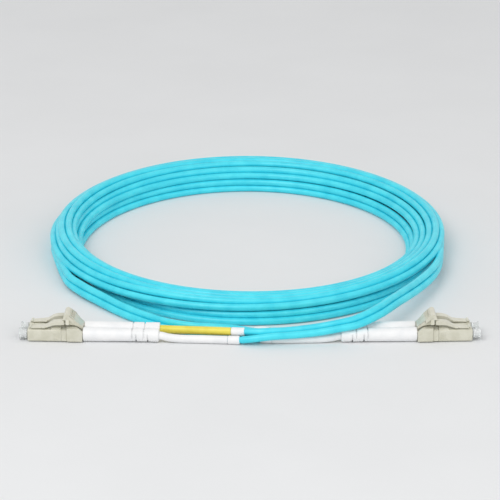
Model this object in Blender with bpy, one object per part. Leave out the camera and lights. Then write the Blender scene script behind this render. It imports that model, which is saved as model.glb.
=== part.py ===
"""Duplex fibre optic patch cord: two pairs of small square plugs on a coiled twin cord.

Metres, +Z up. The two ends lie in line along X with their noses outwards, and the coil lies
behind them at +Y. The origin is on the ground, in the middle of the two ends. Each end is
drawn in its own frame: +X runs back from the nose along the plugs, and Z is up.
"""

import math

import bmesh
import bpy
from mathutils import Vector
from mathutils.geometry import interpolate_bezier

# ---------------------------------------------------------------- the two ends
GAP = 0.0003  # what touching pieces keep between them
NOSE_X = 0.0842  # from the middle to the nose of each end
END_YAW = math.radians(2.3)
PITCH = 0.00625  # between the two plugs of an end
AXIS_HEIGHT = 0.0027  # of the plugs above the ground

# ---------------------------------------------------------------- plug housing
HOUSING_WIDTH = 0.00452
HOUSING_LENGTH = 0.0127
HOUSING_BEVEL = 0.0004
NOSE_CHAMFER = 0.0008  # along the lower front edge
NOSE_BORE_RADIUS = 0.00165  # round the ferrule
NOSE_BORE_DEPTH = 0.0034
STOP_WALL = 0.0008  # the ferrule holder rests against it
SPRING_CHAMBER_RADIUS = 0.00172
PAD_LENGTH = 0.0037
PAD_WIDTH = 0.0034
PAD_HEIGHT = 0.0005

# ---------------------------------------------------------------- latch
LATCH_WIDTH = 0.003
LATCH_TIP = 0.014  # from the nose to the free end
LATCH_ROOT = 0.0009  # from the nose to the root
LATCH_PIVOT = 0.0007  # from the root to the bending line
LATCH_RISE = 0.00324  # of the free end above the housing
LATCH_BEND = 0.0073  # from the nose to where it arches up
LATCH_ARCH = 0.0051  # length of the arch
LATCH_ROOT_THICKNESS = 0.0004
LATCH_TIP_THICKNESS = 0.0014
LUG_WIDTH = 0.0038
LUG_START = 0.0055
LUG_LENGTH = 0.0014
LUG_HEIGHT = 0.0004

# ---------------------------------------------------------------- ferrule, holder and spring
FERRULE_RADIUS = 0.000625
FERRULE_LENGTH = 0.0065
FERRULE_REACH = 0.0015  # past the nose
FERRULE_TRAVEL = 0.0008
HOLDER_COLLAR_RADIUS = 0.00135
HOLDER_COLLAR_LENGTH = 0.0018
HOLDER_TUBE_RADIUS = 0.00095
HOLDER_BORE_RADIUS = 0.0007
HOLDER_SEAT_CLEARANCE = 0.0002  # round the ferrule
SPRING_WIRE = 0.0003
SPRING_MEAN_RADIUS = 0.00125
SPRING_TURNS = 4.5
SPRING_CLEARANCE = 0.0002  # at each end

# ---------------------------------------------------------------- rear body and crimp
SPIGOT_RADIUS = 0.00142
SPIGOT_LENGTH = 0.002
BLOCK_WIDTH = 0.0044
BLOCK_LENGTH = 0.0017
BARREL_RADIUS = 0.0016
BARREL_LENGTH = 0.0033
NECK_RADIUS = 0.00095
NECK_REACH = 0.0005  # past the crimp sleeve
BODY_BORE_RADIUS = 0.00075
CRIMP_LENGTH = 0.0057
CRIMP_WALL = 0.00025
FIBRE_RADIUS = 0.00045

# ---------------------------------------------------------------- boot
BOOT_LENGTH = 0.0283
BOOT_FRONT_RADIUS = 0.0027
BOOT_REAR_RADIUS = 0.0025
BOOT_COLLAR_LENGTH = 0.0035
BOOT_THROAT = 0.0048  # depth of the wide bore
NOTCH_WIDTH = 0.0007
NOTCH_DEPTH = 0.0009
NOTCH_STEP = 0.0015  # from an upper notch to the lower one behind it
NOTCH_PERIOD = 0.0046
NOTCH_START = 0.0178  # from the boot's front

# ---------------------------------------------------------------- duplex clip and trigger
CLIP_WIDTH = 0.0118
CLIP_LENGTH = 0.0059
CLIP_BOTTOM = 0.0004
CLIP_TOP = 0.0056
CLIP_BEVEL = 0.0003
CLIP_CHAMFER = 0.0014  # along the upper rear edge
POCKET_WIDTH = 0.0086
POCKET_CHAMFER = 0.0023
TRIGGER_WIDTH = 0.008
TRIGGER_THICKNESS = 0.001
TRIGGER_PEAK = 0.0106
TRIGGER_FOOT = 0.0054  # height of its outer face at the rear
TRIGGER_PIVOT_INSET = 0.0003
WEB_THICKNESS = 0.0008  # of the walls under the trigger's sides
WEB_FRONT_HEIGHT = 0.00675  # of a wall's lower front corner
WEB_REAR_HEIGHT = 0.006
WEB_REACH = 0.0015  # from the clip's rear to the end of a wall
RIB_COUNT = 4
RIB_HEIGHT = 0.00018
RIB_PITCH = 0.0005

# ---------------------------------------------------------------- dust cap
CAP_WALL = 0.0004
CAP_INSERTION = 0.0028
CAP_FLANGE_RADIUS = 0.0019
CAP_WAIST_RADIUS = 0.0016
CAP_LIP_RADIUS = 0.00215
CAP_REACH = 0.0032  # past the nose
CAP_END_WALL = 0.001
CAP_WEB_HEIGHT = 0.0012

# ---------------------------------------------------------------- sleeves and cord
LEG_RADIUS = 0.00125
SLEEVED_RADIUS = 0.00105  # of a leg where something is round it
SLEEVE_RADIUS = 0.00155
SLEEVE_WALL = 0.00025
COLLAR_RADIUS = 0.00165
WHITE_SLEEVE_LENGTH = 0.0263
YELLOW_SLEEVE_LENGTH = 0.0277
FRONT_COLLAR_LENGTH = 0.0045
REAR_COLLAR_LENGTH = 0.0051
ZIP_SPACING = 0.00275  # between the two legs of the twin cord
LEG_POINT_SPACING = 0.008

# ---------------------------------------------------------------- coil
COIL_CENTRE = (-0.0015, 0.096)
COIL_OUTER_RADIUS = 0.080
COIL_INNER_RADIUS = 0.065
COIL_HEIGHT = 0.0124
COIL_ROUNDING = 0.003
COIL_STRETCH = 1.05  # of the coil along Y

# Places along an end, from the nose.
WALL_BACK = NOSE_BORE_DEPTH + STOP_WALL
HOLDER_START = WALL_BACK + GAP
HOLDER_COLLAR_END = HOLDER_START + HOLDER_COLLAR_LENGTH
BLOCK_START = HOUSING_LENGTH + GAP
BLOCK_END = BLOCK_START + BLOCK_LENGTH
SPIGOT_START = BLOCK_START - SPIGOT_LENGTH
HOLDER_END = SPIGOT_START - FERRULE_TRAVEL - 2 * GAP
CLIP_START = BLOCK_END + GAP
CLIP_END = CLIP_START + CLIP_LENGTH
BARREL_END = BLOCK_END + BARREL_LENGTH
CRIMP_START = BARREL_END + GAP
CRIMP_END = CRIMP_START + CRIMP_LENGTH
NECK_END = CRIMP_END + NECK_REACH
LEG_START = NECK_END + GAP
BOOT_START = CLIP_END + GAP
BOOT_END = BOOT_START + BOOT_LENGTH
HOUSING_TOP = AXIS_HEIGHT + HOUSING_WIDTH / 2
CRIMP_BORE = NECK_RADIUS + GAP
CRIMP_RADIUS = CRIMP_BORE + CRIMP_WALL

# The two ends together reach as far in front of the origin as behind it.
FRONT_REACH = BOOT_END * math.sin(END_YAW) + (PITCH / 2 + BOOT_REAR_RADIUS) * math.cos(END_YAW)
BACK_REACH = CLIP_WIDTH / 2 * math.cos(END_YAW) - CLIP_START * math.sin(END_YAW)
END_Y = (FRONT_REACH - BACK_REACH) / 2

# Routes of the legs in millimetres, from the boot on. The front and the rear leg of an end
# come together in the twin cord, whose points also give how far the rear leg leans over the
# front one, in degrees.
LEFT_FRONT_ROUTE = (
    (-31.0, -4.5, 2.0),
    (-26.6, -4.8, 1.62),
    (-19.0, -5.2, 1.6),
    (-13.3, -5.6, 1.6),
    (-8.4, -6.0, 1.65),
    (-3.6, -6.6, 1.8),
    (0.0, -7.4, 2.5),
)
LEFT_REAR_ROUTE = (
    (-28.0, 1.0, 2.95),
    (-20.0, -0.5, 3.3),
    (-13.3, -1.8, 3.6),
    (-7.0, -3.0, 3.85),
    (-1.9, -3.8, 4.0),
    (0.5, -4.4, 4.35),
)
LEFT_ZIP = (
    (4.0, -7.9, 3.2, 35),
    (7.6, -8.0, 3.75, 26),
    (13.3, -7.7, 4.05, 20),
    (19.0, -7.1, 4.3, 23),
    (26.6, -6.4, 4.95, 28),
    (34.0, -6.1, 6.3, 30),
    (40.0, -4.7, 7.0, 34),
    (45.6, -0.7, 7.7, 38),
    (51.0, 5.5, 8.1, 44),
    (56.5, 14.5, 8.0, 57),
    (62.3, 24.5, 7.2, 73),
    (68.3, 36.5, 6.1, 84),
    (72.8, 49.5, 5.2, 90),
    (75.6, 61.5, 4.6, 90),
    (76.9, 71.5, 4.2, 90),
)
RIGHT_FRONT_ROUTE = (
    (31.0, -4.5, 2.0),
    (26.6, -4.8, 1.62),
    (19.0, -5.1, 1.6),
    (13.3, -5.3, 1.6),
    (8.4, -5.2, 1.65),
    (3.8, -4.6, 1.65),
    (1.0, -3.6, 1.5),
)
RIGHT_REAR_ROUTE = (
    (28.0, 1.2, 2.6),
    (20.0, -0.1, 2.4),
    (13.3, -1.1, 2.5),
    (9.0, -1.6, 3.0),
    (4.5, -2.1, 3.95),
    (0.8, -1.5, 3.25),
)
RIGHT_ZIP = (
    (-2.0, -2.1, 1.35, 36),
    (-7.0, 0.5, 1.3, 40),
    (-13.0, 2.4, 1.3, 40),
    (-19.0, 3.6, 1.3, 40),
    (-27.0, 5.7, 1.3, 40),
    (-34.6, 8.9, 1.3, 40),
    (-45.0, 16.9, 1.5, 46),
    (-51.5, 24.0, 1.7, 60),
    (-58.0, 32.5, 2.0, 78),
    (-65.3, 42.0, 2.2, 90),
    (-72.0, 52.5, 2.4, 90),
)


# ---------------------------------------------------------------- tools
def clear_scene():
    for old in list(bpy.data.objects):
        bpy.data.objects.remove(old)


def material(name, colour, roughness, metallic=0.0):
    made = bpy.data.materials.new(name)
    made.use_nodes = True
    shader = made.node_tree.nodes["Principled BSDF"]
    shader.inputs["Base Color"].default_value = (*colour, 1.0)
    shader.inputs["Roughness"].default_value = roughness
    shader.inputs["Metallic"].default_value = metallic
    made.diffuse_color = (*colour, 1.0)
    return made


def link(name, data, parent=None, place=(0, 0, 0)):
    made = bpy.data.objects.new(name, data)
    bpy.context.collection.objects.link(made)
    made.parent = parent
    made.location = place
    return made


def solid(name, bm, look, parent=None, place=(0, 0, 0)):
    """An object of the mesh in bm, with its origin at place in the parent's frame."""
    bmesh.ops.recalc_face_normals(bm, faces=bm.faces)
    mesh = bpy.data.meshes.new(name)
    bm.to_mesh(mesh)
    bm.free()
    if look:
        mesh.materials.append(look)
    mesh.shade_smooth()
    mesh.set_sharp_from_angle(angle=math.radians(40))
    return link(name, mesh, parent, place)


def turned(profile, sides, closed):
    """A mesh turned about X from (distance along X, radius). A closed profile makes a tube."""
    bm = bmesh.new()
    line = [bm.verts.new((along, 0, -radius)) for along, radius in profile]
    pairs = list(zip(line, line[1:]))
    if closed:
        pairs.append((line[-1], line[0]))
    edges = [bm.edges.new(pair) for pair in pairs]
    bmesh.ops.spin(
        bm, geom=line + edges, cent=(0, 0, 0), axis=(1, 0, 0), angle=2 * math.pi, steps=sides, use_merge=True
    )
    bmesh.ops.remove_doubles(bm, verts=bm.verts, dist=1e-7)
    return bm


def rod(start, end, radius, sides=20):
    return turned([(start, 0), (start, radius), (end, radius), (end, 0)], sides, closed=False)


def tube(start, end, outer, bore, sides=20):
    return turned([(start, bore), (start, outer), (end, outer), (end, bore)], sides, closed=True)


def prism(outline, width):
    """A mesh with the outline, of (along X, height), and the width, centred on Y."""
    bm = bmesh.new()
    face = bm.faces.new([bm.verts.new((along, -width / 2, height)) for along, height in outline])
    grown = bmesh.ops.extrude_face_region(bm, geom=[face])
    moved = [item for item in grown["geom"] if isinstance(item, bmesh.types.BMVert)]
    bmesh.ops.translate(bm, verts=moved, vec=(0, width, 0))
    return bm


def box(start, end, width, bottom, top):
    return prism([(start, bottom), (end, bottom), (end, top), (start, top)], width)


def bevel(target, width, segments=1):
    made = target.modifiers.new("Bevel", "BEVEL")
    made.width = width
    made.segments = segments
    made.limit_method = "ANGLE"


def boolean(target, bm, operation, place=(0, 0, 0)):
    """Cuts the mesh in bm from the target, or joins it, in the frame of the target's parent."""
    tool = solid(f"{target.name}_tool", bm, None, target.parent, place)
    tool.hide_render = True
    tool.display_type = "WIRE"
    made = target.modifiers.new(operation.title(), "BOOLEAN")
    made.operation = operation
    made.object = tool


# ---------------------------------------------------------------- one plug
def plug_housing(name, rig, look, place):
    half = HOUSING_WIDTH / 2
    outline = [
        (NOSE_CHAMFER, -half),
        (HOUSING_LENGTH, -half),
        (HOUSING_LENGTH, half),
        (0, half),
        (0, NOSE_CHAMFER - half),
    ]
    housing = solid(name, prism(outline, HOUSING_WIDTH), look, rig, place)
    bevel(housing, HOUSING_BEVEL)
    pad = box(HOUSING_LENGTH - PAD_LENGTH, HOUSING_LENGTH, PAD_WIDTH, 0, half + PAD_HEIGHT)
    boolean(housing, pad, "UNION", place)
    bores = [
        (-GAP, 0),
        (-GAP, NOSE_BORE_RADIUS),
        (NOSE_BORE_DEPTH, NOSE_BORE_RADIUS),
        (NOSE_BORE_DEPTH, FERRULE_RADIUS + GAP),
        (WALL_BACK, FERRULE_RADIUS + GAP),
        (WALL_BACK, SPRING_CHAMBER_RADIUS),
        (HOUSING_LENGTH + GAP, SPRING_CHAMBER_RADIUS),
        (HOUSING_LENGTH + GAP, 0),
    ]
    boolean(housing, turned(bores, 24, closed=False), "DIFFERENCE", place)


def latch(name, rig, look, side):
    """The blade that locks the plug. Its origin is on the line where its root bends."""
    pivot = (LATCH_ROOT + LATCH_PIVOT, GAP * 0.8)
    low = GAP
    high = low + LATCH_ROOT_THICKNESS
    tip = LATCH_RISE - LATCH_TIP_THICKNESS
    outline = [
        (LATCH_ROOT, low),
        (LUG_START, low + 0.4 * LATCH_ROOT_THICKNESS),
        (LATCH_BEND, low + 0.2 * tip),
        (LATCH_BEND + 0.25 * LATCH_ARCH, 0.65 * tip),
        (LATCH_BEND + 0.6 * LATCH_ARCH, 0.95 * tip),
        (LATCH_TIP, tip),
        (LATCH_TIP, 0.99 * LATCH_RISE),
        (LATCH_BEND + LATCH_ARCH, LATCH_RISE),
        (LATCH_BEND + 0.6 * LATCH_ARCH, 0.92 * LATCH_RISE),
        (LATCH_BEND + 0.2 * LATCH_ARCH, 0.66 * LATCH_RISE),
        (LATCH_BEND, 0.42 * LATCH_RISE),
        (LUG_START, 0.3 * LATCH_RISE),
        (LATCH_ROOT + 2 * LATCH_PIVOT, high),
        (LATCH_ROOT + LATCH_PIVOT, high),
        (LATCH_ROOT, low + 0.5 * LATCH_ROOT_THICKNESS),
    ]
    moved = [(along - pivot[0], height - pivot[1]) for along, height in outline]
    place = (pivot[0], side * PITCH / 2, HOUSING_TOP + pivot[1])
    blade = solid(name, prism(moved, LATCH_WIDTH), look, rig, place)
    lug_bottom = low + 0.8 * LATCH_ROOT_THICKNESS - pivot[1]
    lug = box(LUG_START - pivot[0], LUG_START + LUG_LENGTH - pivot[0], LUG_WIDTH, lug_bottom, lug_bottom + LUG_HEIGHT)
    boolean(blade, lug, "UNION", place)


def ferrule(name, rig, look, place):
    tip = 0.6 * FERRULE_RADIUS
    back = FERRULE_LENGTH - FERRULE_REACH
    profile = [
        (-FERRULE_REACH, 0),
        (-FERRULE_REACH, tip),
        (-FERRULE_REACH + FERRULE_RADIUS - tip, FERRULE_RADIUS),
        (back, FERRULE_RADIUS),
        (back, 0),
    ]
    solid(name, turned(profile, 20, closed=False), look, rig, place)


def ferrule_holder(name, rig, look, place):
    seat = FERRULE_LENGTH - FERRULE_REACH + GAP
    seat_radius = FERRULE_RADIUS + HOLDER_SEAT_CLEARANCE
    profile = [
        (HOLDER_START, seat_radius),
        (HOLDER_START, HOLDER_COLLAR_RADIUS),
        (HOLDER_COLLAR_END, HOLDER_COLLAR_RADIUS),
        (HOLDER_COLLAR_END, HOLDER_TUBE_RADIUS),
        (HOLDER_END, HOLDER_TUBE_RADIUS),
        (HOLDER_END, HOLDER_BORE_RADIUS),
        (seat, HOLDER_BORE_RADIUS),
        (seat, seat_radius),
    ]
    solid(name, turned(profile, 16, closed=True), look, rig, place)


def ferrule_spring(name, rig, look, place):
    start = HOLDER_COLLAR_END + SPRING_CLEARANCE + SPRING_WIRE / 2
    end = SPIGOT_START - SPRING_CLEARANCE - SPRING_WIRE / 2
    wire = bpy.data.curves.new(name, "CURVE")
    wire.dimensions = "3D"
    wire.bevel_depth = SPRING_WIRE / 2
    wire.bevel_resolution = 0
    wire.use_fill_caps = True
    wire.render_resolution_u = 0
    wire.materials.append(look)
    count = round(SPRING_TURNS * 8) + 1
    line = wire.splines.new("POLY")
    line.points.add(count - 1)
    for index, point in enumerate(line.points):
        part = index / (count - 1)
        angle = 2 * math.pi * SPRING_TURNS * part
        point.co = (
            start + part * (end - start),
            SPRING_MEAN_RADIUS * math.cos(angle),
            SPRING_MEAN_RADIUS * math.sin(angle),
            1,
        )
    link(name, wire, rig, place)


def rear_body(name, rig, look, place):
    half = BLOCK_WIDTH / 2
    body = solid(name, box(BLOCK_START, BLOCK_END, BLOCK_WIDTH, -half, half), look, rig, place)
    bevel(body, HOUSING_BEVEL)
    shaft = [
        (SPIGOT_START, 0),
        (SPIGOT_START, SPIGOT_RADIUS),
        (BLOCK_START + GAP, SPIGOT_RADIUS),
        (BLOCK_START + GAP, BARREL_RADIUS),
        (BARREL_END, BARREL_RADIUS),
        (BARREL_END, NECK_RADIUS),
        (NECK_END, NECK_RADIUS),
        (NECK_END, 0),
    ]
    boolean(body, turned(shaft, 20, closed=False), "UNION", place)
    boolean(body, rod(SPIGOT_START - GAP, NECK_END + GAP, BODY_BORE_RADIUS, 16), "DIFFERENCE", place)


def crimp_sleeve(name, rig, look, place):
    solid(name, tube(CRIMP_START, CRIMP_END, CRIMP_RADIUS, CRIMP_BORE, 16), look, rig, place)


def fibre(name, rig, look, place):
    start = FERRULE_LENGTH - FERRULE_REACH + FERRULE_TRAVEL + GAP
    solid(name, rod(start, NECK_END, FIBRE_RADIUS, 10), look, rig, place)


def boot(name, rig, look, place):
    throat = BOOT_START + BOOT_THROAT
    bore = SLEEVED_RADIUS + GAP
    ring = BOOT_END - BOOT_COLLAR_LENGTH
    waist = BOOT_REAR_RADIUS - HOUSING_BEVEL / 2
    profile = [
        (BOOT_START, CRIMP_RADIUS + GAP),
        (BOOT_START, BOOT_FRONT_RADIUS - HOUSING_BEVEL),
        (BOOT_START + HOUSING_BEVEL, BOOT_FRONT_RADIUS),
        (throat, BOOT_FRONT_RADIUS),
        (ring, waist),
        (ring, BOOT_REAR_RADIUS),
        (BOOT_END - HOUSING_BEVEL, BOOT_REAR_RADIUS),
        (BOOT_END, BOOT_REAR_RADIUS - HOUSING_BEVEL),
        (BOOT_END, bore),
        (throat, bore),
        (throat, CRIMP_RADIUS + GAP),
    ]
    body = solid(name, turned(profile, 24, closed=True), look, rig, place)
    for period in range(2):
        for level in (1, -1):
            start = BOOT_START + NOTCH_START + period * NOTCH_PERIOD + (level < 0) * NOTCH_STEP
            deep = level * (BOOT_REAR_RADIUS - NOTCH_DEPTH)
            clear = level * (BOOT_FRONT_RADIUS + GAP)
            cutter = box(start, start + NOTCH_WIDTH, 3 * BOOT_FRONT_RADIUS, min(deep, clear), max(deep, clear))
            boolean(body, cutter, "DIFFERENCE", place)


# ---------------------------------------------------------------- the pieces of an end
def duplex_clip(name, rig, look):
    outline = [
        (CLIP_START, CLIP_BOTTOM),
        (CLIP_END, CLIP_BOTTOM),
        (CLIP_END, CLIP_TOP - CLIP_CHAMFER),
        (CLIP_END - CLIP_CHAMFER, CLIP_TOP),
        (CLIP_START, CLIP_TOP),
    ]
    clip = solid(name, prism(outline, CLIP_WIDTH), look, rig)
    bevel(clip, CLIP_BEVEL)
    pocket = [
        (CLIP_END - POCKET_CHAMFER - GAP, CLIP_TOP + GAP),
        (CLIP_END + GAP, CLIP_TOP - POCKET_CHAMFER - GAP),
        (CLIP_END + GAP, CLIP_TOP + GAP),
    ]
    boolean(clip, prism(pocket, POCKET_WIDTH), "DIFFERENCE")
    for side in (-1, 1):
        hole = rod(CLIP_START - GAP, CLIP_END + GAP, BARREL_RADIUS + GAP, 20)
        boolean(clip, hole, "DIFFERENCE", (0, side * PITCH / 2, AXIS_HEIGHT))


def trigger(name, rig, look):
    """The bent plate over both latches. Its origin is on its hinge at the clip's rear."""
    hinge = (CLIP_END - TRIGGER_PIVOT_INSET, TRIGGER_FOOT - 0.4 * TRIGGER_THICKNESS)
    lip_bottom = HOUSING_TOP + LATCH_RISE + GAP
    lip_back = LATCH_TIP + GAP
    lip_front = lip_back - 0.9 * TRIGGER_THICKNESS
    peak = (lip_back + 0.9 * TRIGGER_THICKNESS, TRIGGER_PEAK)
    outline = [
        (CLIP_END, TRIGGER_FOOT - TRIGGER_THICKNESS),
        (CLIP_END, TRIGGER_FOOT),
    ]
    slope = (TRIGGER_PEAK - TRIGGER_FOOT) / (CLIP_END - peak[0])
    for index in reversed(range(RIB_COUNT)):
        along = peak[0] + (index + 1) * RIB_PITCH
        for shift, lift in ((0.4, 0), (0.3, 1), (0.0, 1), (-0.1, 0)):
            at = along + shift * RIB_PITCH
            outline.append((at, TRIGGER_PEAK - slope * (at - peak[0]) + lift * RIB_HEIGHT))
    outline += [
        peak,
        (peak[0] - 0.6 * TRIGGER_THICKNESS, TRIGGER_PEAK + 0.1 * TRIGGER_THICKNESS),
        (lip_front + 0.4 * TRIGGER_THICKNESS, TRIGGER_PEAK - 0.6 * TRIGGER_THICKNESS),
        (lip_front, lip_bottom),
        (lip_back, lip_bottom),
        (lip_back + 0.4 * TRIGGER_THICKNESS, TRIGGER_PEAK - 1.3 * TRIGGER_THICKNESS),
        (peak[0], TRIGGER_PEAK - 1.4 * TRIGGER_THICKNESS),
    ]
    moved = [(along - hinge[0], height - hinge[1]) for along, height in outline]
    plate = solid(name, prism(moved, TRIGGER_WIDTH), look, rig, (hinge[0], 0, hinge[1]))
    web = [
        (lip_back + 0.6 * TRIGGER_THICKNESS, WEB_FRONT_HEIGHT),
        (CLIP_END - WEB_REACH, WEB_REAR_HEIGHT),
        (CLIP_END - WEB_REACH + 2 * TRIGGER_PIVOT_INSET / 3, WEB_REAR_HEIGHT + TRIGGER_PIVOT_INSET),
        (peak[0], TRIGGER_PEAK - 0.9 * TRIGGER_THICKNESS),
        (lip_back + 0.6 * TRIGGER_THICKNESS, TRIGGER_PEAK - 1.2 * TRIGGER_THICKNESS),
    ]
    for side in (-1, 1):
        boolean(plate, prism(web, WEB_THICKNESS), "UNION", (0, side * (TRIGGER_WIDTH - WEB_THICKNESS - GAP / 3) / 2, 0))


def dust_cap(name, rig, look):
    """Two cups over the ferrules and the web that joins them, as one piece."""
    bore = FERRULE_RADIUS + GAP
    end_wall = -CAP_REACH + CAP_END_WALL
    profile = [
        (-CAP_REACH, 0),
        (-CAP_REACH, CAP_LIP_RADIUS),
        (-CAP_REACH + CAP_END_WALL / 2, CAP_LIP_RADIUS),
        (-CAP_REACH / 2, CAP_WAIST_RADIUS),
        (-2 * GAP, CAP_FLANGE_RADIUS),
        (-GAP, CAP_FLANGE_RADIUS),
        (-GAP, bore + CAP_WALL),
        (CAP_INSERTION, bore + CAP_WALL),
        (CAP_INSERTION, bore),
        (end_wall, bore),
        (end_wall, 0),
    ]
    sides = (-PITCH / 2, PITCH / 2)
    web_width = PITCH - 2 * CAP_WAIST_RADIUS
    web = box(-CAP_REACH, end_wall, web_width, -CAP_WEB_HEIGHT / 2, CAP_WEB_HEIGHT / 2)
    cap = solid(name, web, look, rig, (0, 0, AXIS_HEIGHT))
    for side in sides:
        boolean(cap, turned(profile, 20, closed=False), "UNION", (0, side, AXIS_HEIGHT))


# ---------------------------------------------------------------- legs and what is round them
def smooth_line(points, spacing):
    """Points about the spacing apart on the smooth curve through the points."""
    steps = [(b - a).length for a, b in zip(points, points[1:])]
    slopes = [(points[1] - points[0]) / steps[0]]
    for index in range(1, len(points) - 1):
        slopes.append((points[index + 1] - points[index - 1]) / (steps[index - 1] + steps[index]))
    slopes.append((points[-1] - points[-2]) / steps[-1])
    fine = [points[0]]
    for index, step in enumerate(steps):
        before = points[index] + slopes[index] * step / 3
        after = points[index + 1] - slopes[index + 1] * step / 3
        fine += interpolate_bezier(points[index], before, after, points[index + 1], 24)[1:]
    count = round(length_of(fine) / spacing)
    return [along(fine, length_of(fine) * index / count) for index in range(count + 1)]


def length_of(line):
    return sum((b - a).length for a, b in zip(line, line[1:]))


def along(line, distance):
    """The point at the distance along the line."""
    for a, b in zip(line, line[1:]):
        step = (b - a).length
        if distance <= step:
            return a.lerp(b, distance / step)
        distance -= step
    return line[-1].copy()


def stretch(line, start, end):
    """The part of the line between two distances along it."""
    points = [along(line, start)]
    passed = 0
    for a, b in zip(line, line[1:]):
        passed += (b - a).length
        if start < passed < end:
            points.append(b)
    return points + [along(line, end)]


def leg(name, line, sleeved_length, look):
    cord = bpy.data.curves.new(name, "CURVE")
    cord.dimensions = "3D"
    cord.bevel_depth = LEG_RADIUS
    cord.bevel_resolution = 2
    cord.use_fill_caps = True
    cord.render_resolution_u = 0
    cord.materials.append(look)
    spline = cord.splines.new("POLY")
    spline.points.add(len(line) - 1)
    passed = 0
    for index, point in enumerate(spline.points):
        if index:
            passed += (line[index] - line[index - 1]).length
        point.co = (*line[index], 1)
        point.radius = SLEEVED_RADIUS / LEG_RADIUS if passed < sleeved_length else 1
    link(name, cord)


def sleeve(name, line, radius, bore, look):
    """A tube swept along the line."""
    bm = bmesh.new()
    rings = []
    for index, centre in enumerate(line):
        heading = line[min(index + 1, len(line) - 1)] - line[max(index - 1, 0)]
        side = heading.cross(Vector((0, 0, 1))).normalized()
        up = side.cross(heading).normalized()
        turns = [2 * math.pi * step / 14 for step in range(14)]
        spokes = [side * math.sin(turn) - up * math.cos(turn) for turn in turns]
        rings.append([[bm.verts.new(centre + spoke * size) for spoke in spokes] for size in (radius, bore)])
    outer = [pair[0] for pair in rings]
    inner = [pair[1] for pair in reversed(rings)]
    loops = [*outer, *inner, outer[0]]
    for a, b in zip(loops, loops[1:]):
        for step in range(14):
            bm.faces.new((a[step], a[step - 1], b[step - 1], b[step]))
    solid(name, bm, look)


def metres(point):
    return Vector(point[:3]) / 1000


def zip_lines(route):
    """The lines of the front and of the rear leg along a twin cord's route."""
    front = [metres(point) for point in route]
    rear = []
    for index, centre in enumerate(front):
        heading = front[min(index + 1, len(front) - 1)] - front[max(index - 1, 0)]
        behind = Vector((heading.x, heading.y, 0)).cross(Vector((0, 0, -1))).normalized()
        if heading.x < 0:
            behind.negate()
        lean = math.radians(route[index][3])
        rear.append(centre + ZIP_SPACING * (behind * math.cos(lean) + Vector((0, 0, math.sin(lean)))))
    return front, rear


def dressed_leg(name, rig, side, route, twin, sleeve_name, sleeve_length, collar_length, looks):
    """A leg from its crimp through its boot, sleeve and collar and on as half of the twin cord."""
    start, boot_end = (
        rig.matrix_world @ Vector((distance, side * PITCH / 2, AXIS_HEIGHT)) for distance in (LEG_START, BOOT_END)
    )
    line = smooth_line([start, boot_end, *(metres(point) for point in route), *twin], LEG_POINT_SPACING)
    sleeve_start = BOOT_END - LEG_START + GAP
    sleeve_end = sleeve_start + sleeve_length
    collar_end = sleeve_end + GAP + collar_length
    leg(f"{name}_leg", line, collar_end + LEG_RADIUS, looks["cord"])
    bore = SLEEVE_RADIUS - SLEEVE_WALL
    sleeve(f"{name}_{sleeve_name}_sleeve", stretch(line, sleeve_start, sleeve_end), SLEEVE_RADIUS, bore, looks[sleeve_name])
    sleeve(f"{name}_collar", stretch(line, sleeve_end + GAP, collar_end), COLLAR_RADIUS, bore, looks["white"])


def coil(look):
    """The wound cord's outer shape: a ring turned about Z, a little longer than wide."""
    low, high = COIL_ROUNDING, COIL_HEIGHT - COIL_ROUNDING
    near, far = COIL_INNER_RADIUS, COIL_OUTER_RADIUS
    corners = ((far, low, -90), (far, high, 0), (near, high, 90), (near, low, 180))
    bm = bmesh.new()
    line = []
    for radius, height, start in corners:
        middle = radius + (COIL_ROUNDING if radius == near else -COIL_ROUNDING)
        for turn in (0, 45, 90):
            angle = math.radians(start + turn)
            point = (middle + COIL_ROUNDING * math.cos(angle), 0, height + COIL_ROUNDING * math.sin(angle))
            line.append(bm.verts.new(point))
    edges = [bm.edges.new(pair) for pair in zip(line, line[1:] + line[:1])]
    bmesh.ops.spin(
        bm, geom=line + edges, cent=(0, 0, 0), axis=(0, 0, 1), angle=2 * math.pi, steps=72, use_merge=True
    )
    bmesh.ops.remove_doubles(bm, verts=bm.verts, dist=1e-7)
    bmesh.ops.scale(bm, verts=bm.verts, vec=(1, COIL_STRETCH, 1))
    solid("coil", bm, look, None, (*COIL_CENTRE, 0))


# ---------------------------------------------------------------- assembly
def plug(name, rig, side, looks):
    place = (0, side * PITCH / 2, AXIS_HEIGHT)
    plug_housing(f"{name}_plug_housing", rig, looks["plug"], place)
    latch(f"{name}_latch", rig, looks["plug"], side)
    ferrule(f"{name}_ferrule", rig, looks["ferrule"], place)
    ferrule_holder(f"{name}_ferrule_holder", rig, looks["metal"], place)
    ferrule_spring(f"{name}_ferrule_spring", rig, looks["metal"], place)
    rear_body(f"{name}_rear_body", rig, looks["plug"], place)
    crimp_sleeve(f"{name}_crimp_sleeve", rig, looks["metal"], place)
    fibre(f"{name}_fibre", rig, looks["fibre"], place)
    boot(f"{name}_boot", rig, looks["white"], place)


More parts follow.
